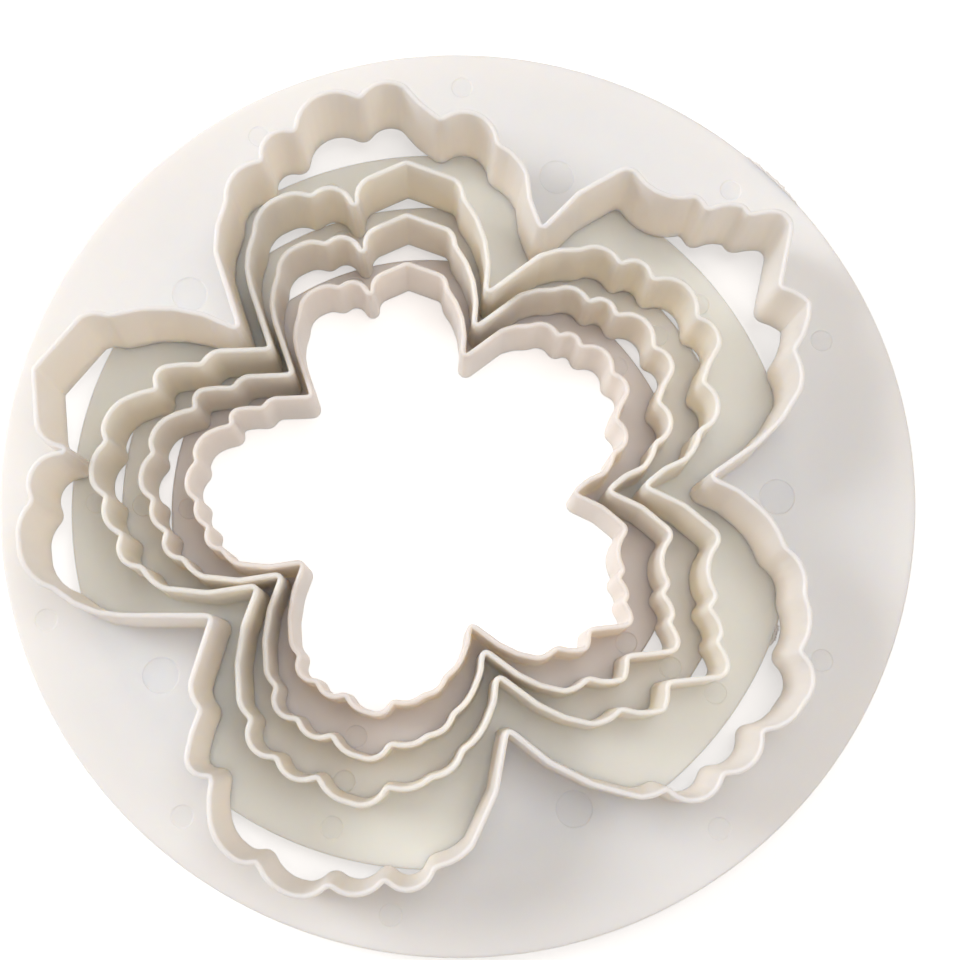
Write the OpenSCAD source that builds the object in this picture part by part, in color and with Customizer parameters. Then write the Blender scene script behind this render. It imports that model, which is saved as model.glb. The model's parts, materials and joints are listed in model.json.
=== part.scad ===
// Nested set of four ruffled five-petal flower cutters for sugar paste.
// Each cutter is one moulding: a round flange with a flower-shaped opening,
// and a thin wall that stands up all round the opening and ends in a cutting edge.
// The set lies with its edges up. The smallest flange is at the bottom, and the
// wall of each cutter rises through the openings of all the larger ones.

/* [Mouldings] */
// Thickness of every flange
flange_t = 1.6; // [1.2:0.1:2.2]
// Bevel on the rim of every flange
flange_bevel = 0.4; // [0.1:0.1:0.5]
// Thickness of every wall
wall_t = 1.1; // [0.9:0.1:1.2]
// Thickness of the cutting edge at the top of the wall
edge_t = 0.7; // [0.5:0.1:0.8]
// Height of the thinned cutting edge
edge_h = 2; // [1:0.2:5]

/* [Flange diameters] */
// Extra large cutter
xl_d = 160; // [156:1:164]
// Large cutter
l_d = 127; // [125:1:129]
// Medium cutter
m_d = 109; // [107:1:111]
// Small cutter
s_d = 91; // [88:1:93]

/* [Heights] */
// Extra large cutter, from the underside of the flange to the cutting edge
xl_h = 18; // [14:0.5:26]
// Large cutter
l_h = 16; // [12:0.5:24]
// Medium cutter
m_h = 14; // [10:0.5:22]
// Small cutter
s_h = 14; // [10:0.5:20]

/* [Flower] */
// Diameter that the petals reach on the extra large cutter, and in proportion on the others
flower_d = 143; // [140:1:145]
// Sideways place of the flower on the extra large flange
xl_flower_x = -2; // [-2.5:0.1:0]
// Lengthways place of the flower on the extra large flange
xl_flower_y = 2.8; // [0:0.1:3]
// Sideways place of the flower on the three smaller flanges
flower_x = -0.6; // [-1:0.1:0]
// Lengthways place of the flower on the three smaller flanges
flower_y = 1.5; // [0.5:0.1:2]

/* [Nest] */
// Turn of the extra large cutter, one petal away from the other three
xl_turn = 71; // [70:0.5:73]
// Sideways place of the large cutter under the extra large one
nest_x = -4.4; // [-4.8:0.1:-4]
// Lengthways place of the large cutter
nest_y = -2.4; // [-2.8:0.1:-2]
// Sideways step to each smaller cutter
nest_step_x = -0.6; // [-0.7:0.05:-0.5]
// Lengthways step to each smaller cutter
nest_step_y = -0.4; // [-0.5:0.05:-0.2]
// Slack between one flange and the next
stack_gap = 0.05; // [0.02:0.01:0.3]

/* [Hidden] */
// Largest turn of an arc between two of its points
arc_step = 16;
// Overlap that joins the cutting edge to the wall
join = 0.5;
// Diameter that the petals below reach, as drawn
drawn_d = 142;

// The outline of the flower, petal by petal and clockwise, starting between two petals.
// Each row is the start of one ruffle and how far the ruffle swells out to the next start.
top_petal = [
    [-35, 27.5, 0.4], [-39.5, 40.5, 1.1], [-39, 52.5, 1.7], [-33.5, 61, 0.9], [-26.5, 61.5, 2.9],
    [-17, 59.5, 1.5], [-13.5, 66, 0.2], [-6, 69.5, 0.4], [5, 65.5, 0.6], [7, 61, 2.3]
];
right_petal = [
    [12, 40.5, 0.4], [22.5, 48.5, 0.6], [31.5, 50, 0.5], [36.5, 50.5, 0.6], [40.5, 47, 2.3],
    [47.5, 43.5, 3.7], [57, 35, 1.8], [61.5, 28, -0.4], [58, 20.5, 3.5], [57, 9.5, 0.7], [53.5, 3, -0.6]
];
low_right_petal = [
    [45.5, -2, 1.1], [59.5, -11, 0.6], [60, -14.5, -1.8], [59.5, -24.5, 0.4], [58, -27.5, 0.5],
    [60.5, -32.5, 0.3], [59.5, -34.5, 0.2], [61.5, -38.5, 1.2], [58.5, -42.5, 0.1], [49, -43.5, 0.4],
    [48, -49, 0.8], [39, -49, 0.7], [33, -52, 0.7], [21.5, -48, 0.2]
];
bottom_petal = [
    [14, -42.5, 0.6], [12, -51, 0.6], [7, -57, 1.4], [0.5, -62.5, 1.3], [-8.5, -64.5, 1.9],
    [-16.5, -67.5, 1.1], [-23, -62.5, 2.3], [-31.5, -58.5, 3], [-37, -50.5, 0.3], [-39.5, -47, 1.8]
];
left_petal = [
    [-36.5, -24, 1.2], [-55, -24.5, 0.6], [-60, -20, 2.5], [-64.5, -13, 1.9], [-68, -5, 0.4],
    [-71, -2, 1.4], [-68.5, 7, 0.5], [-69, 11, 1], [-63.5, 17, 0.2], [-58.5, 18.5, 1.3],
    [-56.5, 23.5, 0.3], [-49, 24, 0.5], [-45.5, 27, 0.3]
];
drawn_ruffles = concat(top_petal, right_petal, low_right_petal, bottom_petal, left_petal);

// Step down from one cutter to the next smaller one in the nest
nest_step = [nest_step_x, nest_step_y, -flange_t - stack_gap];
// Places of the four flanges
s_place = [nest_x, nest_y, 0] + 2 * [nest_step_x, nest_step_y, 0];
m_place = s_place - nest_step;
l_place = m_place - nest_step;
xl_place = [0, 0, l_place.z - nest_step.z];

// Points of one ruffle, an arc from a towards b that swells out by rise, without its last point
function ruffle(a, b, rise) =
    let (
        along = (b - a) / norm(b - a),
        out = [-along.y, along.x],
        half_chord = norm(b - a) / 2,
        radius = (half_chord ^ 2 + rise ^ 2) / (2 * rise),
        half_turn = 2 * atan(abs(rise) / half_chord),
        centre = (a + b) / 2 + out * (rise - radius),
        steps = ceil(2 * half_turn / arc_step)
    )
    [
        for (i = [0 : steps - 1])
            let (turn = half_turn * (2 * i / steps - 1))
            centre + out * radius * cos(turn) + along * abs(radius) * sin(turn)
    ];

// Outer outline of the flower on a cutter that is size times the extra large one
function flower(size) =
    let (k = size * flower_d / drawn_d, rows = drawn_ruffles, count = len(rows))
    [
        for (i = [0 : count - 1])
            let (a = rows[i], b = rows[(i + 1) % count])
            each ruffle([a.x, a.y] * k, [b.x, b.y] * k, a.z * k)
    ];

// Points that replace one corner when an outline is drawn in by t, where n1 and n2 are the
// inward normals of the sides that meet there: a mitre, or a round end on a sharp notch
function drawn_in_corner(corner, n1, n2, t) =
    n1 * n2 < 0
        ? [for (n = [n1, (n1 + n2) / norm(n1 + n2), n2]) corner + n * t]
        : [corner + (n1 + n2) * t / (1 + n1 * n2)];

// The clockwise outline pts drawn in by the distance t
function drawn_in(pts, t) =
    let (count = len(pts))
    [
        for (i = [0 : count - 1])
            let (
                before = pts[i] - pts[(i + count - 1) % count],
                after = pts[(i + 1) % count] - pts[i],
                n1 = [before.y, -before.x] / norm(before),
                n2 = [after.y, -after.x] / norm(after)
            )
            each drawn_in_corner(pts[i], n1, n2, t)
    ];

// Solid of height h between two outlines
module flower_ring(outer, inner, h) {
    linear_extrude(h)
        difference() {
            polygon(outer);
            polygon(inner);
        }
}

// Round flange with a bevelled rim and a flower-shaped opening at place
module flange(d, opening, place) {
    r = d / 2;
    difference() {
        rotate_extrude($fn = 180)
            polygon([
                [0, 0],
                [r - flange_bevel, 0],
                [r, flange_bevel],
                [r, flange_t - flange_bevel],
                [r - flange_bevel, flange_t],
                [0, flange_t]
            ]);
        translate([place.x, place.y, -flange_t])
            linear_extrude(3 * flange_t)
                polygon(opening);
    }
}

// Wall up to the height h, thinned on both sides near the top for the cutting edge
module wall(outline, h) {
    thinning = (wall_t - edge_t) / 2;
    flower_ring(outline, drawn_in(outline, wall_t), h - edge_h);
    translate([0, 0, h - edge_h - join])
        flower_ring(drawn_in(outline, thinning), drawn_in(outline, wall_t - thinning), edge_h + join);
}

// One cutter of diameter d and height h, with its flange on the origin, its underside at z = 0
// and its flower at place
module cutter(d, h, place) {
    outline = flower(d / xl_d);
    union() {
        flange(d, drawn_in(outline, wall_t), place);
        translate([place.x, place.y, 0])
            wall(outline, h);
    }
}

module extra_large_cutter() {
    color("white")
        translate(xl_place)
            rotate(xl_turn)
                cutter(xl_d, xl_h, [xl_flower_x, xl_flower_y]);
}

module large_cutter() {
    color("oldlace")
        translate(l_place)
            cutter(l_d, l_h, [flower_x, flower_y]);
}

module medium_cutter() {
    color("linen")
        translate(m_place)
            cutter(m_d, m_h, [flower_x, flower_y]);
}

module small_cutter() {
    color("antiquewhite")
        translate(s_place)
            cutter(s_d, s_h, [flower_x, flower_y]);
}

extra_large_cutter();
large_cutter();
medium_cutter();
small_cutter();
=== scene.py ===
import json
import math

import bpy
import numpy as np
from bpy.props import FloatProperty, FloatVectorProperty, IntProperty, PointerProperty
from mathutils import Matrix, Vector


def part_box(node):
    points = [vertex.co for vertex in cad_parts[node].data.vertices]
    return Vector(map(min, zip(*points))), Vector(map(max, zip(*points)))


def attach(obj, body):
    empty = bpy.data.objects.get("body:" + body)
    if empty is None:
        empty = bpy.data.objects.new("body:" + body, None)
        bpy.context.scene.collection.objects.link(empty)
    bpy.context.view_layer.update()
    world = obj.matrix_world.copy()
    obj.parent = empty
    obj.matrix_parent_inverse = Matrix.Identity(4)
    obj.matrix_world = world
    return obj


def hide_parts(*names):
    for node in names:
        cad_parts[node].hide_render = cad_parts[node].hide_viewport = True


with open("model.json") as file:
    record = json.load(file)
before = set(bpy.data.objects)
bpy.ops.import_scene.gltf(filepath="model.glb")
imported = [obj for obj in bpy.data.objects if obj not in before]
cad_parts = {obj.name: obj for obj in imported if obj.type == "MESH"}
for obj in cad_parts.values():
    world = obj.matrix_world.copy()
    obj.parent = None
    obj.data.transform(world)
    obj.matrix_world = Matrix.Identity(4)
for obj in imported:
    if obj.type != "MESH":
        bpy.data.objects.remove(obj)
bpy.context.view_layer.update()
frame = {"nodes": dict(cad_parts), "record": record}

bl_info = {
    "name": "Nested flower cutters",
    "version": (1, 0, 0),
    "blender": (4, 5, 0),
    "location": "View3D > Sidebar > Cutters",
    "description": "Moulds a nested set of four ruffled flower cutters and lays it on a studio floor",
    "category": "Add Mesh",
}

MM = 0.001
BODY_OF = {
    node: body
    for body, nodes in frame["record"]["behaviour"]["bodies"].items()
    for node in nodes
}
SLOT_OF = {part["node"]: part["material_slot"] for part in frame["record"]["subparts"]}
EXTRA_LARGE = "extra_large_cutter"


def length(name, description, default):
    """A length in metres."""
    return FloatProperty(name=name, description=description, default=default, unit="LENGTH", precision=5)


def spot(name, description, default):
    """A place, in metres."""
    return FloatVectorProperty(
        name=name, description=description, default=default, unit="LENGTH", precision=5
    )


def turn(name, description, default):
    """An angle, given in degrees and kept in radians."""
    angle = math.radians(default)
    return FloatProperty(name=name, description=description, default=angle, unit="ROTATION")


def share(name, description, default):
    """A share from none to all."""
    return FloatProperty(
        name=name, description=description, default=default, min=0, max=1, subtype="FACTOR"
    )


def power(name, description, default):
    """Power of a lamp, in watts."""
    return FloatProperty(name=name, description=description, default=default, min=0)


def colour(name, description, red, green, blue):
    """A colour, given as it looks on a screen and kept as linear light by the sRGB formula."""
    shown = np.array([red, green, blue]) / 255
    linear = np.where(shown <= 0.04045, shown / 12.92, ((shown + 0.055) / 1.055) ** 2.4)
    return FloatVectorProperty(
        name=name, description=description, default=linear.tolist(), subtype="COLOR", min=0, max=1
    )


class MouldingSettings(bpy.types.PropertyGroup):
    """Sizes that every cutter of the set shares."""

    wall_foot: length("Wall at the foot", "Twice the wall's reach outwards at the flange", 1.1 * MM)
    wall_rim: length("Wall at the rim", "Thickness of the wall under its rounded rim", 0.92 * MM)
    large_draft: turn("Large draft", "Lean of the inside of the extra large wall", 2.1)
    draft: turn("Draft", "Lean of the inside of the other walls", 1.1)
    crease: length("Crease softness", "Spread of the rounding between two ruffles", 0.3 * MM)
    foot_fillet: length("Foot fillet", "Radius between the wall and the top of the flange", 0.45 * MM)
    opening_round: length("Opening edge", "Radius of the lower edge of the opening", 0.2 * MM)
    flange_round: length("Flange edge", "Radius of both edges of the flange", 0.4 * MM)
    step: length("Step", "Length of a face along the wall", 0.36 * MM)


class MarkSettings(bpy.types.PropertyGroup):
    """Traces of the mould: the round ejector marks and the torn gate."""

    mark_depth: length("Mark depth", "How far an ejector mark lies below the flange", 0.15 * MM)
    mark_round: length("Mark edge", "Width of the rounded edge of an ejector mark", 0.3 * MM)
    scar_reach: length("Gate reach", "How far the torn gate stands out of the flange at most", 0.9 * MM)
    scar_half: length("Gate thickness", "Half the thickness of the torn gate", 0.45 * MM)
    scar_seed: IntProperty(name="Gate seed", description="Start of the torn shape", default=5, min=0)


class PlasticSettings(bpy.types.PropertyGroup):
    """Colours and surface of the four plastics."""

    white_plastic: colour("White", "Plastic of the extra large cutter", 243, 239, 236)
    ivory_plastic: colour("Ivory", "Plastic of the large cutter", 254, 244, 231)
    cream_plastic: colour("Foot Shade Colour", "Plastic of the medium cutter", 254, 243, 231)
    blush_plastic: colour("Blush", "Plastic of the small cutter", 238, 227, 221)
    torn_plastic: colour("Torn", "Whitened plastic where the gate was torn off", 246, 243, 240)
    # Painted shade and bounce light: the walls turn creamier and darker towards their foot, where light
    # bounced between the walls and shade gather.
    foot_cream: colour("Foot shade colour", "Colour that the walls take on towards the foot", 254, 243, 224)
    foot_warmth: share("Foot shade share", "How much creamier a wall gets towards its foot", 0.2)
    roughness: share("Roughness", "Mean roughness of the moulded skin", 0.42)
    glow: share("Glow", "How much light passes through the skin of the plastic", 1.0)
    glow_depth: length("Glow depth", "How far light spreads inside the plastic", 4 * MM)


class StageSettings(bpy.types.PropertyGroup):
    """Camera, floor and lamps."""

    lens: FloatProperty(name="Lens", description="Focal length on a 36 mm sensor", default=58.12)
    camera_place: spot("Camera place", "Place of the camera", (-0.00372, -0.04723, 0.27321))
    camera_pitch: turn("Camera pitch", "Turn of the camera about its sideways axis", 10.15)
    camera_lean: turn("Camera lean", "Sideways turn of the camera", -1.51)
    key_place: spot("Key place", "Place of the key lamp", (-1.40, 0.49, 0.98))
    key_size: length("Key size", "Diameter of the key lamp", 0.9)
    key_power: power("Key power", "Power of the key lamp in watts", 17.2)
    fill_place: spot("Fill place", "Place of the fill lamp", (0.60, -0.22, 0.64))
    fill_size: length("Fill size", "Diameter of the fill lamp", 0.7)
    fill_power: power("Fill power", "Power of the fill lamp in watts", 0.9)
    top_place: spot("Top place", "Place of the top lamp", (0.10, 0.10, 0.68))
    top_size: length("Top size", "Diameter of the top lamp", 0.4)
    top_power: power("Top power", "Power of the top lamp in watts", 1.3)
    ambient: share("Ambient", "Strength of the light from all round", 0.38)
    ambient_colour: colour("Ambient colour", "Colour of the light from all round", 255, 240, 227)
    floor_white: share("Floor white", "Light that the camera sees added to the floor round the set", 0.5)
    floor_near: length("Near floor", "Distance at which the floor starts to turn all white", 0.2)
    floor_far: length("Far floor", "Distance at which the floor has turned all white", 0.6)


def node_triangles(node):
    """Corner points of every triangle of a CAD node, as an array of triangles by 3 corners by 3."""
    mesh = frame["nodes"][node].data
    mesh.calc_loop_triangles()
    corners = np.empty(3 * len(mesh.loop_triangles), np.int32)
    mesh.loop_triangles.foreach_get("vertices", corners)
    points = np.empty(3 * len(mesh.vertices), np.float32)
    mesh.vertices.foreach_get("co", points)
    return points.astype(float).reshape(-1, 3)[corners].reshape(-1, 3, 3)


def closed_length(curve):
    """Length of a closed curve, the sum of its chords."""
    return np.linalg.norm(np.roll(curve, -1, axis=0) - curve, axis=1).sum()


def rim_ribbon(node):
    """Outer outline of the cutting edge, anticlockwise, and the mean thickness of the edge.

    The triangles with all three corners at the top of the node make up the flat ribbon of the edge.
    A side that only one of them has lies on an outline. Those sides give each point its follower, and
    the walk starts from the outermost point: each pass joins the walk so far to itself, moved on by
    its own length, so that it doubles. The thickness is the ribbon's area over the outline's length.
    """
    touching = 0.01 * MM
    corners = node_triangles(node)
    top = corners[..., 2].max()
    ribbon = corners[(corners[..., 2] > top - touching).all(axis=1)][..., :2]
    points, index = np.unique(np.round(ribbon.reshape(-1, 2), 6), axis=0, return_inverse=True)
    index = index.reshape(-1, 3)
    sides = np.concatenate([index[:, [0, 1]], index[:, [1, 2]], index[:, [2, 0]]])
    count = len(points)
    outer = ~np.isin(sides[:, 0] * count + sides[:, 1], sides[:, 1] * count + sides[:, 0])
    jump = np.arange(count)
    jump[sides[outer, 0]] = sides[outer, 1]
    order = np.array([np.argmax(np.linalg.norm(points - points.mean(axis=0), axis=1))])
    while order.size <= count:
        order = np.concatenate([order, jump[order]])
        jump = jump[jump]
    back = np.flatnonzero(order == order[0])
    if back.size < 2 or back[1] < 3:
        raise RuntimeError(f"{node} has no closed outline at its cutting edge")
    outline = points[order[: back[1]]]
    edges = ribbon[:, 1:] - ribbon[:, :1]
    area = np.abs(edges[:, 0, 0] * edges[:, 1, 1] - edges[:, 0, 1] * edges[:, 1, 0]).sum() / 2
    return outline, area / closed_length(outline)


def evenly(curve, count):
    """A closed curve as count points at even steps of its length, by straight interpolation."""
    closed = np.vstack([curve, curve[:1]])
    along = np.concatenate([[0], np.cumsum(np.linalg.norm(np.diff(closed, axis=0), axis=1))])
    place = along[-1] * np.arange(count) / count
    return np.stack([np.interp(place, along, closed[:, axis]) for axis in range(2)], axis=1)


def softened(curve, spread):
    """A closed curve of even steps, each point the Gaussian mean of its neighbours over spread.

    The mean is taken on the curve's waves: one of f turns per metre fades by exp(-2 (pi f spread)^2).
    """
    waves = np.fft.fftfreq(len(curve), closed_length(curve) / len(curve))
    fade = np.exp(-2 * (math.pi * waves * spread) ** 2)
    return np.fft.ifft(np.fft.fft(curve, axis=0) * fade[:, None], axis=0).real


def outward(curve):
    """Unit normals of an anticlockwise curve: the chord past each point, a quarter turn clockwise."""
    chord = np.roll(curve, -1, axis=0) - np.roll(curve, 1, axis=0)
    return np.stack([chord[:, 1], -chord[:, 0]], axis=1) / np.linalg.norm(chord, axis=1)[:, None]


def moved_out(curve, away):
    """A closed curve moved outwards by away along its normals.

    In a tight bend the moved points fall nearer to the curve than that distance. Those are dropped,
    and the points around them are joined straight.
    """
    slack = 0.01 * MM
    moved = curve + away * outward(curve)
    apart = moved[:, None, :] - curve[None, :, :]
    nearest = np.sqrt((apart**2).sum(axis=2).min(axis=1))
    good = np.flatnonzero(nearest > abs(away) - slack)
    index = np.arange(len(curve))
    straight = [np.interp(index, good, moved[good, axis], period=len(curve)) for axis in range(2)]
    return np.stack(straight, axis=1)


def middle_line(node, moulding):
    """Closed line along the middle of the wall: the rim outline drawn in by half the edge, softened."""
    outline, edge = rim_ribbon(node)
    count = round(closed_length(outline) / moulding.step)
    line = moved_out(evenly(outline, count), -edge / 2)
    return evenly(softened(evenly(line, count), moulding.crease), count)


def steady_angle(curve, centre):
    """Angle of each point seen from centre, made to grow all the way round.

    It is the running maximum of the angle, with a small share of an even turn mixed in, so that no
    two points share one.
    """
    even_share = 0.004
    seen = np.unwrap(np.arctan2(curve[:, 1] - centre[1], curve[:, 0] - centre[0]))
    even = seen[0] + math.tau * np.arange(len(curve)) / len(curve)
    return (1 - even_share) * np.maximum.accumulate(seen) + even_share * even


def circle_point(angle, start, centre, radius):
    """Where the rays from start, at these angles, leave the circle about centre."""
    ray = np.stack([np.cos(angle), np.sin(angle)], axis=-1)
    offset = start - centre
    along = ray @ offset
    reach = np.sqrt(along**2 - offset @ offset + radius[:, None] ** 2) - along
    return start + reach[..., None] * ray


class Levels:
    """Places of one cutter, read from its CAD node: flange centre and radius, and its heights."""

    def __init__(self, node):
        low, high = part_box(node)
        self.bottom = low.z
        self.top = high.z
        self.radius = (high.x - low.x) / 2
        self.centre = np.array([(low.x + high.x) / 2, (low.y + high.y) / 2])
        points = node_triangles(node).reshape(-1, 3)
        outermost = 0.97 * self.radius
        rim = np.linalg.norm(points[:, :2] - self.centre, axis=1) > outermost
        self.flange_top = points[rim, 2].max()

    def point(self, angle, distance):
        """Point of the flange at an angle in degrees and a distance from its centre."""
        direction = math.radians(angle)
        return self.centre + distance * np.array([math.cos(direction), math.sin(direction)])


def section(levels, moulding, draft):
    """Closed cross-section of a cutter, as rows of away, spread, inset, height, under and lowness.

    away is the distance out of the wall's middle line, spread the share of the way from there to the
    flange's edge, inset the distance in from that edge, and under 1 where the underside is followed.
    lowness is 0 on the flange and at the rim, and grows to 1 down the wall. The section runs out along
    the underside, round the flange's edge, in along its top, up the wall's outside and down its inside,
    which leans by the draft.
    """
    foot, rim = moulding.wall_foot / 2, moulding.wall_rim / 2
    fillet, edge, opening = moulding.foot_fillet, moulding.flange_round, moulding.opening_round
    bottom, top, flange = levels.bottom, levels.top, levels.flange_top
    round_points, climb_points = 6, 8
    quarter = np.radians(np.linspace(0, 90, round_points))
    half = np.radians(np.linspace(0, 180, 2 * round_points - 1))
    climb = np.linspace(0, 1, climb_points)[1:-1]
    wall_foot, wall_head = flange + fillet, top - rim
    outer, inner = foot + fillet, rim + (wall_head - bottom) * math.tan(draft)
    across_flange = np.array([0.05, 0.2, 0.4, 0.6, 0.8, 0.99])

    def rows(away, spread, inset, height, under, lowness):
        """One stretch of the section, each value spread over all of its rows."""
        return np.stack(np.broadcast_arrays(away, spread, inset, height, under, lowness), axis=1)

    rise, drop = wall_head - wall_foot, wall_head - bottom - opening
    turn_in, turn_up = 1 - np.sin(quarter), 1 - np.cos(quarter)
    return np.concatenate([
        rows(opening - inner, across_flange, edge, bottom, 1, 0),
        rows(opening - inner, 1, edge * turn_in, bottom + edge * turn_up, 1, 0),
        rows(outer, 1, edge * turn_up, flange - edge * turn_in, 0, 0),
        rows(outer, across_flange[::-1], edge, flange, 0, 0),
        rows(foot + fillet * turn_in, 0, edge, flange + fillet * turn_up, 0, np.sin(quarter)),
        rows(foot + (rim - foot) * climb, 0, edge, wall_foot + rise * climb, 0, 1 - climb),
        rows(rim * np.cos(half), 0, edge, wall_head + rim * np.sin(half), 0, 0),
        rows(-rim + (rim - inner) * climb, 0, edge, wall_head - drop * climb, 1, climb),
        rows(opening * turn_up - inner, 0, edge, bottom + opening * turn_in, 1, 1),
    ])


def grid_faces(rows, columns, closed):
    """Corners of the faces of a grid whose columns run round. Closed rows join up, others get caps."""
    index = np.arange(rows * columns).reshape(rows, columns)
    corners = [index, np.roll(index, -1, axis=1)]
    corners += [np.roll(corner, -1, axis=0) for corner in reversed(corners)]
    faces = np.stack(corners, axis=2)[: rows if closed else rows - 1].reshape(-1, 4).tolist()
    if closed:
        return faces
    return faces + [index[0, ::-1].tolist(), index[-1].tolist()]


def grid_object(name, grids, closed):
    """Object whose mesh holds one closed surface for each grid of rows by columns by 3."""
    points, faces = [], []
    for grid in grids:
        start = sum(map(len, points))
        points.append(grid.reshape(-1, 3))
        faces += [[start + corner for corner in face] for face in grid_faces(*grid.shape[:2], closed)]
    mesh = bpy.data.meshes.new(name)
    mesh.from_pydata(np.concatenate(points).tolist(), [], faces)
    mesh.shade_smooth()
    piece = bpy.data.objects.new(name, mesh)
    bpy.context.scene.collection.objects.link(piece)
    return piece


def cutter_object(node, moulding):
    """One moulding as a single closed surface: the outline runs round, the cross-section up.

    A row lies at its distance out of the wall's middle line. From there it goes towards the flange's
    edge by its spread, along rays from the middle of the flower.
    """
    kink_spread = 0.1 * MM
    levels = Levels(node)
    line = middle_line(node, moulding)
    draft = moulding.large_draft if node == EXTRA_LARGE else moulding.draft
    away, spread, inset, height, under, lowness = section(levels, moulding, draft).T
    lines = {distance: softened(moved_out(line, distance), kink_spread) for distance in np.unique(away)}
    wall = np.stack([lines[distance] for distance in away])
    heart = line.mean(axis=0)
    above = steady_angle(lines[away[spread > 0].max()], heart)
    below = steady_angle(lines[away[spread > 0].min()], heart)
    angle = above + under[:, None] * (below - above)
    edge = circle_point(angle, heart, levels.centre, levels.radius - inset)
    flat = wall + spread[:, None, None] * (edge - wall)
    tall = np.broadcast_to(height[:, None, None], (*flat.shape[:2], 1))
    piece = grid_object(f"{node}_moulding", [np.concatenate([flat, tall], axis=2)], closed=True)
    # lowness places the painted shade at the foot of the walls.
    attribute = piece.data.attributes.new("lowness", "FLOAT", "POINT")
    attribute.data.foreach_set("value", np.repeat(lowness, len(line)).astype(np.float32))
    return piece


def dress(piece, node, material):
    """Give a piece its material and the body of its node."""
    piece.data.materials.append(material)
    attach(piece, BODY_OF[node])


# Ejector marks of the extra large flange: angle in degrees and distance from its centre in mm
LARGE_MARKS = [(145, 59), (213.3, 61), (289, 59), (-2.3, 55.5), (73, 59)]
SMALL_MARKS = [
    (22.1, 69.5), (48, 73), (90, 73.5), (120, 73.5), (162, 74),
    (198.8, 74.8), (230.7, 73.6), (261, 73.9), (-53.5, 73.5), (-26.3, 69.4),
]
# Radii of the two kinds of mark in mm
LARGE_MARK_R = 3.2
SMALL_MARK_R = 2
PETALS = 5
# Marks of the other flanges, one for each petal: angle of the first in degrees, and their distance
# from the centre as a share of the flange's radius
PLAIN_MARKS = (37, 0.93)
# Middle of the torn gate and half its spread in degrees, on the extra large flange and on the others
LARGE_GATE = (45, 4.7)
PLAIN_GATE = (-22, 1.8)


def mark_list(node, levels):
    """Angle in degrees, distance from the flange's centre and radius of each mark of a cutter."""
    if node == EXTRA_LARGE:
        large = [(angle, distance * MM, LARGE_MARK_R * MM) for angle, distance in LARGE_MARKS]
        return large + [(angle, distance * MM, SMALL_MARK_R * MM) for angle, distance in SMALL_MARKS]
    first, reach = PLAIN_MARKS
    turns = first + 360 / PETALS * np.arange(PETALS)
    return [(angle, reach * levels.radius, SMALL_MARK_R * MM) for angle in turns]


def mark_grid(centre, radius, levels, marks):
    """A round plug that cuts an ejector mark: its profile turned about its axis, from its flat foot up.

    The foot lies at the mark's depth. While t runs from 0 to 1 across the rounded edge, the height is
    over - (depth + over) cos(pi t / 2), which ends a little over the flange. There it turns straight up.
    """
    over, head = 0.02 * MM, 0.3 * MM
    foot_share, edge_rows, sides = 0.4, 7, 48
    across = np.linspace(0, 1, edge_rows)
    radii = np.concatenate([[foot_share * radius], radius - marks.mark_round * (1 - across), [radius]])
    curve = over - (marks.mark_depth + over) * np.cos(math.pi / 2 * across)
    heights = levels.flange_top + np.concatenate([[-marks.mark_depth], curve, [head]])
    around = math.tau * np.arange(sides) / sides
    flat = centre + radii[:, None, None] * np.stack([np.cos(around), np.sin(around)], axis=1)
    tall = np.broadcast_to(heights[:, None, None], (*flat.shape[:2], 1))
    return np.concatenate([flat, tall], axis=2)


def cut_away(piece, tool):
    """Cut a closed tool out of a closed piece, keep the new edges sharp and delete the tool."""
    sharp = math.radians(30)
    modifier = piece.modifiers.new("cut", "BOOLEAN")
    modifier.object = tool
    modifier.operation = "DIFFERENCE"
    modifier.solver = "MANIFOLD"
    cut = piece.evaluated_get(bpy.context.evaluated_depsgraph_get())
    whole = piece.data
    piece.data = bpy.data.meshes.new_from_object(cut)
    piece.modifiers.clear()
    if len(piece.data.polygons) <= len(whole.polygons):
        raise RuntimeError(f"nothing was cut from {piece.name}")
    piece.data.set_sharp_from_angle(angle=sharp)
    bpy.data.objects.remove(tool)


def rough_line(generator, count, spread):
    """Random numbers along a line, each the Gaussian mean of its neighbours, scaled to 0 to 1."""
    cut_off = 3 * spread
    near = np.arange(-cut_off, cut_off + 1)
    weights = np.exp(-0.5 * (near / spread) ** 2)
    line = np.convolve(generator.random(count + len(near) - 1), weights, "valid")
    return (line - line.min()) / np.ptp(line)


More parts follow.
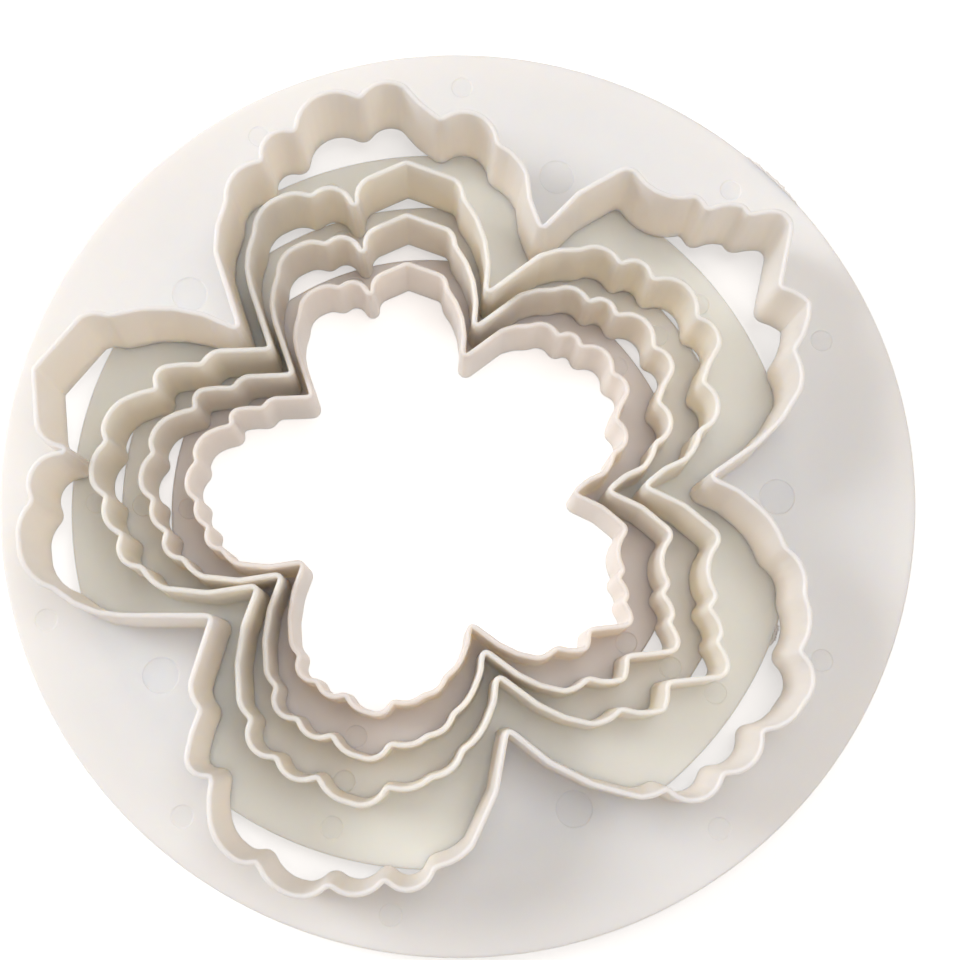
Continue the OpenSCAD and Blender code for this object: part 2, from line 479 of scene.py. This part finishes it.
def scar_grid(levels, middle, half_spread, marks):
    """The torn gate: a rough oval section carried along the flange's edge, almost a point at its ends.

    Its reach out of the edge is a steady share of the full reach and two that wander along it, one
    slowly and one fast. Every section is dented at random, and its height wanders too.
    """
    generator = np.random.default_rng(marks.scar_seed)
    count, sides = 140, 16
    steady, slow, fast = 0.25, 0.35, 0.4
    slow_spread, fast_spread, height_spread = 4, 1, 3
    dent_depth, height_wander, least = 0.25, 0.3, 1e-3
    buried = 0.5 * MM
    along = np.linspace(-1, 1, count)
    taper = np.sqrt(np.clip(1 - along**4, least, 1))
    slow_wander = slow * rough_line(generator, count, slow_spread)
    fast_wander = fast * rough_line(generator, count, fast_spread)
    reach = (steady + slow_wander + fast_wander) * taper
    angle = np.radians(middle + half_spread * along)
    around = math.tau * np.arange(sides) / sides
    dent = 1 + dent_depth * (generator.random((count, sides)) - 0.5)
    out = marks.scar_reach * reach[:, None] * np.cos(around) * dent
    out = np.where(out > 0, out, buried * np.cos(around))
    shift = height_wander * marks.scar_half * (rough_line(generator, count, height_spread) - 0.5)
    height = (levels.bottom + levels.flange_top) / 2 + shift[:, None]
    height = height - marks.scar_half * taper[:, None] * np.sin(around) * dent
    radius = levels.radius + out
    flat_x = levels.centre[0] + radius * np.cos(angle)[:, None]
    flat_y = levels.centre[1] + radius * np.sin(angle)[:, None]
    return np.stack([flat_x, flat_y, height], axis=2)


def node_group(name, inputs, outputs):
    """A new shader node group with named sockets, and the sockets of its input and output nodes.

    inputs maps a socket's name to its kind and default, and outputs a socket's name to its kind.
    """
    group = bpy.data.node_groups.new(name, "ShaderNodeTree")
    for label, (kind, default) in inputs.items():
        socket = group.interface.new_socket(label, in_out="INPUT", socket_type=f"NodeSocket{kind}")
        socket.default_value = default
    for label, kind in outputs.items():
        group.interface.new_socket(label, in_out="OUTPUT", socket_type=f"NodeSocket{kind}")
    return group, group.nodes.new("NodeGroupInput").outputs, group.nodes.new("NodeGroupOutput").inputs


def add(tree, kind, values, **options):
    """Add a node. Each of values goes to an input: a socket is linked, and anything else is set."""
    node = tree.nodes.new(kind)
    for option, value in options.items():
        setattr(node, option, value)
    for key, value in values.items():
        if isinstance(value, bpy.types.NodeSocket):
            tree.links.new(value, node.inputs[key])
        else:
            node.inputs[key].default_value = value
    return node


def calculate(tree, operation, *numbers):
    """Output of a Math node."""
    return add(tree, "ShaderNodeMath", dict(enumerate(numbers)), operation=operation).outputs[0]


def mixed(tree, factor, first, second):
    """Colour output of a Mix node, which keeps its colours at inputs 6 and 7 and at output 2."""
    return add(tree, "ShaderNodeMix", {0: factor, 6: first, 7: second}, data_type="RGBA").outputs[2]


def mapped(tree, value, low, high, first, last):
    """A value moved from the range low to high on to the range first to last, and kept within it."""
    ends = {"Value": value, "From Min": low, "From Max": high, "To Min": first, "To Max": last}
    return add(tree, "ShaderNodeMapRange", ends).outputs[0]


def noise(tree, place, scale, detail=2.0, distortion=0.0):
    """Output of a Noise Texture, whose scale is in turns per metre."""
    values = {"Vector": place, "Scale": scale, "Detail": detail, "Distortion": distortion}
    return add(tree, "ShaderNodeTexNoise", values).outputs["Fac"]


def skin_group():
    """Moulded skin: a fine grain on slow waves as a height, and two wandering shares."""
    inputs = {
        "Place": ("Vector", (0, 0, 0)),
        "Grain Scale": ("Float", 2400.0),
        "Wave Scale": ("Float", 60.0),
        "Wave Depth": ("Float", 8.0),
        "Mottle Scale": ("Float", 34.0),
        "Wander Scale": ("Float", 210.0),
    }
    outputs = {"Height": "Float", "Mottle": "Float", "Wander": "Float"}
    group, given, result = node_group("moulded_skin", inputs, outputs)
    place = given["Place"]
    grain = noise(group, place, given["Grain Scale"])
    wave = noise(group, place, given["Wave Scale"], detail=0.0)
    height = calculate(group, "MULTIPLY_ADD", wave, given["Wave Depth"], grain)
    group.links.new(height, result["Height"])
    mottle = noise(group, place, given["Mottle Scale"], detail=3.0, distortion=0.4)
    group.links.new(mottle, result["Mottle"])
    group.links.new(noise(group, place, given["Wander Scale"], detail=4.0), result["Wander"])
    return group


def scuff_group():
    """Mask of fine scuffs: thin lines where a stretched noise passes its middle, in patches."""
    line_scale, line_bend, line_width = 420.0, 1.6, 0.012
    patch_scale, patch_start, patch_full = 60.0, 0.52, 0.66
    direction = (0, 0, math.radians(34))
    stretch = (1, 0.16, 1)
    inputs = {"Place": ("Vector", (0, 0, 0))}
    group, given, result = node_group("fine_scuffs", inputs, {"Mask": "Float"})
    place = {"Vector": given["Place"], "Rotation": direction, "Scale": stretch}
    stretched = add(group, "ShaderNodeMapping", place).outputs[0]
    line = noise(group, stretched, line_scale, distortion=line_bend)
    off_middle = calculate(group, "ABSOLUTE", calculate(group, "SUBTRACT", line, 0.5))
    thin = mapped(group, off_middle, 0.0, line_width, 1.0, 0.0)
    patch = noise(group, given["Place"], patch_scale)
    where = mapped(group, patch, patch_start, patch_full, 0.0, 1.0)
    group.links.new(calculate(group, "MULTIPLY", thin, where), result["Mask"])
    return group


def tint_group():
    """Colour of the plastic: its own, creamier where asked as painted shade at the foot of the walls,
    and a little lighter and darker by turns.
    """
    inputs = {
        "Plastic": ("Color", (0.9, 0.9, 0.9, 1)),
        "Foot Shade Colour": ("Color", (0.9, 0.8, 0.6, 1)),
        "Painted Foot Shade": ("Float", 0.0),
        "Mottle": ("Float", 0.5),
        "Mottle Depth": ("Float", 0.05),
    }
    group, given, result = node_group("plastic_tint_and_foot_shade", inputs, {"Color": "Color"})
    warm = mixed(group, given["Painted Foot Shade"], given["Plastic"], given["Foot Shade Colour"])
    centred = calculate(group, "SUBTRACT", given["Mottle"], 0.5)
    value = calculate(group, "MULTIPLY_ADD", centred, given["Mottle Depth"], 1.0)
    shaded = add(group, "ShaderNodeHueSaturation", {"Color": warm, "Value": value})
    group.links.new(shaded.outputs[0], result["Color"])
    return group


def shared_group(make, name):
    """The node group of that name, made the first time that it is asked for."""
    return bpy.data.node_groups.get(name) or make()


def new_material(name):
    """An empty material, its node tree and the sockets of its output node."""
    material = bpy.data.materials.new(name)
    material.use_nodes = True
    material.node_tree.nodes.clear()
    return material, material.node_tree, material.node_tree.nodes.new("ShaderNodeOutputMaterial").inputs


# Index of refraction of the plastic
PLASTIC_IOR = 1.49
# How far red, green and blue light spread in the plastic, as shares of the glow depth
GLOW_SPREAD = (1.0, 0.83, 0.62)
# Turns of the grain per metre and height of its bump, on the moulded skin and on a torn one
MOULDED_GRAIN = (2400.0, 0.006 * MM)
TORN_GRAIN = (1500.0, 0.06 * MM)


def plastic_material(name, plastic_colour, settings, glow, torn=False):
    """Satin moulded plastic. A torn surface is rougher and more deeply grained."""
    wander_span, scuff_span, torn_span = 0.14, 0.12, 0.3
    grain_scale, bump_height = TORN_GRAIN if torn else MOULDED_GRAIN
    material, tree, output = new_material(name)
    place = tree.nodes.new("ShaderNodeTexCoord").outputs["Object"]
    skin = add(tree, "ShaderNodeGroup", {}, node_tree=shared_group(skin_group, "moulded_skin"))
    skin.inputs["Grain Scale"].default_value = grain_scale
    scuffs = add(tree, "ShaderNodeGroup", {}, node_tree=shared_group(scuff_group, "fine_scuffs"))
    tint = add(tree, "ShaderNodeGroup", {}, node_tree=shared_group(tint_group, "plastic_tint_and_foot_shade"))
    for node in (skin, scuffs):
        tree.links.new(place, node.inputs["Place"])
    # Painted shade: by their lowness, the walls take on the foot colour towards their foot.
    low = add(tree, "ShaderNodeAttribute", {}, attribute_name="lowness").outputs["Fac"]
    painted_foot_shade = calculate(tree, "MULTIPLY", low, settings.foot_warmth)
    tree.links.new(painted_foot_shade, tint.inputs["Painted Foot Shade"])
    tree.links.new(skin.outputs["Mottle"], tint.inputs["Mottle"])
    tint.inputs["Plastic"].default_value = (*plastic_colour, 1)
    tint.inputs["Foot Shade Colour"].default_value = (*settings.foot_cream, 1)
    smoothest = settings.roughness - wander_span / 2
    roughness = calculate(tree, "MULTIPLY_ADD", skin.outputs["Wander"], wander_span, smoothest)
    roughness = calculate(tree, "MULTIPLY_ADD", scuffs.outputs["Mask"], scuff_span, roughness)
    if torn:
        roughness = calculate(tree, "ADD", roughness, torn_span)
    bump = add(tree, "ShaderNodeBump", {"Height": skin.outputs["Height"], "Distance": bump_height})
    shader = add(tree, "ShaderNodeBsdfPrincipled", {
        "Base Color": tint.outputs["Color"],
        "Roughness": roughness,
        "IOR": PLASTIC_IOR,
        "Normal": bump.outputs["Normal"],
        "Subsurface Weight": glow,
        "Subsurface Radius": GLOW_SPREAD,
        "Subsurface Scale": settings.glow_depth,
    })
    tree.links.new(shader.outputs[0], output["Surface"])
    return material


def moulded_plastic(node):
    """Plastic of a cutter, which light passes through.

    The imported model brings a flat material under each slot's own name, so these are named otherwise.
    """
    slot = SLOT_OF[node]
    settings = bpy.context.scene.cutter_plastic
    return plastic_material(f"moulded_{slot}", getattr(settings, slot), settings, settings.glow)


def seen_by_eye(tree):
    """One where a ray comes from the camera, from a gloss or through glass, and none elsewhere."""
    path = tree.nodes.new("ShaderNodeLightPath").outputs
    mirrored = calculate(tree, "MAXIMUM", path["Is Glossy Ray"], path["Is Transmission Ray"])
    return calculate(tree, "MAXIMUM", path["Is Camera Ray"], mirrored)


def floor_material(stage):
    """Pale matt floor. The eye sees white light added to it, so that it reads white round the shadow.

    Away from the set more of it is added, until it is all white at the floor's edge.
    """
    mottle_scale, darkest, lightest = 9.0, 0.80, 0.84
    material, tree, output = new_material("studio_floor")
    place = tree.nodes.new("ShaderNodeTexCoord").outputs["Object"]
    tone = mapped(tree, noise(tree, place, mottle_scale), 0.0, 1.0, darkest, lightest)
    matt = add(tree, "ShaderNodeBsdfDiffuse", {"Color": tone})
    distance = add(tree, "ShaderNodeVectorMath", {0: place}, operation="LENGTH").outputs["Value"]
    white = mapped(tree, distance, stage.floor_near, stage.floor_far, stage.floor_white, 1.0)
    strength = calculate(tree, "MULTIPLY", seen_by_eye(tree), white)
    glow = add(tree, "ShaderNodeEmission", {"Strength": strength})
    both = add(tree, "ShaderNodeAddShader", {0: matt.outputs[0], 1: glow.outputs[0]})
    tree.links.new(both.outputs[0], output["Surface"])
    return material


def studio_world(stage):
    """Even light from all round, which the eye sees as plain white."""
    world = bpy.data.worlds.new("studio")
    world.use_nodes = True
    tree = world.node_tree
    tree.nodes.clear()
    seen = seen_by_eye(tree)
    strength = mapped(tree, seen, 0.0, 1.0, stage.ambient, 1.0)
    tint = mixed(tree, seen, (*stage.ambient_colour, 1), (1, 1, 1, 1))
    light = add(tree, "ShaderNodeBackground", {"Color": tint, "Strength": strength})
    output = tree.nodes.new("ShaderNodeOutputWorld").inputs
    tree.links.new(light.outputs[0], output["Surface"])
    return world


def area_lamp(name, place, size, power):
    """A round soft lamp that points at the middle of the set."""
    light = bpy.data.lights.new(name, "AREA")
    light.shape = "DISK"
    light.size = size
    light.energy = power
    lamp = bpy.data.objects.new(name, light)
    lamp.location = place
    lamp.rotation_euler = (-Vector(place)).to_track_quat("-Z", "Y").to_euler()
    bpy.context.scene.collection.objects.link(lamp)
    return lamp


def studio_floor(stage):
    """A square floor just under the set."""
    reach, drop = 1.5, 0.2 * MM
    corners = [(x * reach, y * reach, -drop) for x, y in ((-1, -1), (1, -1), (1, 1), (-1, 1))]
    mesh = bpy.data.meshes.new("studio_floor")
    mesh.from_pydata(corners, [], [(0, 1, 2, 3)])
    floor = bpy.data.objects.new("studio_floor", mesh)
    bpy.context.scene.collection.objects.link(floor)
    mesh.materials.append(floor_material(stage))


def studio_camera(stage):
    """The camera, over the set and leaning a little towards its lower edge."""
    data = bpy.data.cameras.new("camera")
    data.lens = stage.lens
    data.sensor_width = 36
    data.clip_start = 0.01
    camera = bpy.data.objects.new("camera", data)
    camera.location = stage.camera_place
    camera.rotation_euler = (stage.camera_pitch, stage.camera_lean, 0)
    bpy.context.scene.collection.objects.link(camera)
    bpy.context.scene.camera = camera


class CUTTERS_OT_mould(bpy.types.Operator):
    """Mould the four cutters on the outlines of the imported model"""

    bl_idname = "cutters.mould"
    bl_label = "Cutters"

    def execute(self, context):
        for node in SLOT_OF:
            piece = cutter_object(node, context.scene.cutter_moulding)
            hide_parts(node)
            dress(piece, node, moulded_plastic(node))
        return {"FINISHED"}


class CUTTERS_OT_marks(bpy.types.Operator):
    """Press the round ejector marks into the top of every flange"""

    bl_idname = "cutters.marks"
    bl_label = "Ejector marks"

    def execute(self, context):
        marks = context.scene.cutter_marks
        for node in SLOT_OF:
            levels = Levels(node)
            grids = [
                mark_grid(levels.point(angle, distance), radius, levels, marks)
                for angle, distance, radius in mark_list(node, levels)
            ]
            plugs = grid_object(f"{node}_marks", grids, closed=False)
            cut_away(bpy.data.objects[f"{node}_moulding"], plugs)
        return {"FINISHED"}


class CUTTERS_OT_gates(bpy.types.Operator):
    """Add the torn gate on the edge of every flange"""

    bl_idname = "cutters.gates"
    bl_label = "Torn gates"

    def execute(self, context):
        settings = context.scene.cutter_plastic
        torn = plastic_material("torn_plastic", settings.torn_plastic, settings, 0, torn=True)
        for node in SLOT_OF:
            middle, half_spread = LARGE_GATE if node == EXTRA_LARGE else PLAIN_GATE
            grid = scar_grid(Levels(node), middle, half_spread, context.scene.cutter_marks)
            piece = grid_object(f"{node}_gate", [grid], closed=False)
            dress(piece, node, torn)
        return {"FINISHED"}


class CUTTERS_OT_stage(bpy.types.Operator):
    """Lay the floor, hang the lamps and set up the camera"""

    bl_idname = "cutters.stage"
    bl_label = "Stage"

    def execute(self, context):
        stage = context.scene.cutter_stage
        studio_floor(stage)
        context.scene.world = studio_world(stage)
        area_lamp("key_lamp", stage.key_place, stage.key_size, stage.key_power)
        area_lamp("fill_lamp", stage.fill_place, stage.fill_size, stage.fill_power)
        area_lamp("top_lamp", stage.top_place, stage.top_size, stage.top_power)
        studio_camera(stage)
        context.scene.view_settings.view_transform = "Standard"
        return {"FINISHED"}


OPERATORS = (CUTTERS_OT_mould, CUTTERS_OT_marks, CUTTERS_OT_gates, CUTTERS_OT_stage)


class CUTTERS_PT_sidebar(bpy.types.Panel):
    """Buttons for the pieces of the set and for the stage"""

    bl_idname = "CUTTERS_PT_sidebar"
    bl_label = "Nested flower cutters"
    bl_space_type = "VIEW_3D"
    bl_region_type = "UI"
    bl_category = "Cutters"

    def draw(self, context):
        for operator in OPERATORS:
            self.layout.operator(operator.bl_idname)


SETTINGS = {
    "cutter_moulding": MouldingSettings,
    "cutter_marks": MarkSettings,
    "cutter_plastic": PlasticSettings,
    "cutter_stage": StageSettings,
}


def register():
    """Register the settings, the operators and the panel."""
    for name, group in SETTINGS.items():
        bpy.utils.register_class(group)
        setattr(bpy.types.Scene, name, PointerProperty(type=group))
    for kind in (*OPERATORS, CUTTERS_PT_sidebar):
        bpy.utils.register_class(kind)


def unregister():
    """Take everything that register() added away again."""
    for kind in (CUTTERS_PT_sidebar, *reversed(OPERATORS)):
        bpy.utils.unregister_class(kind)
    for name, group in reversed(SETTINGS.items()):
        delattr(bpy.types.Scene, name)
        bpy.utils.unregister_class(group)


def main():
    """Make every piece and the stage."""
    register()
    bpy.ops.cutters.mould()
    bpy.ops.cutters.marks()
    bpy.ops.cutters.gates()
    bpy.ops.cutters.stage()


if __name__ == "__main__":
    main()
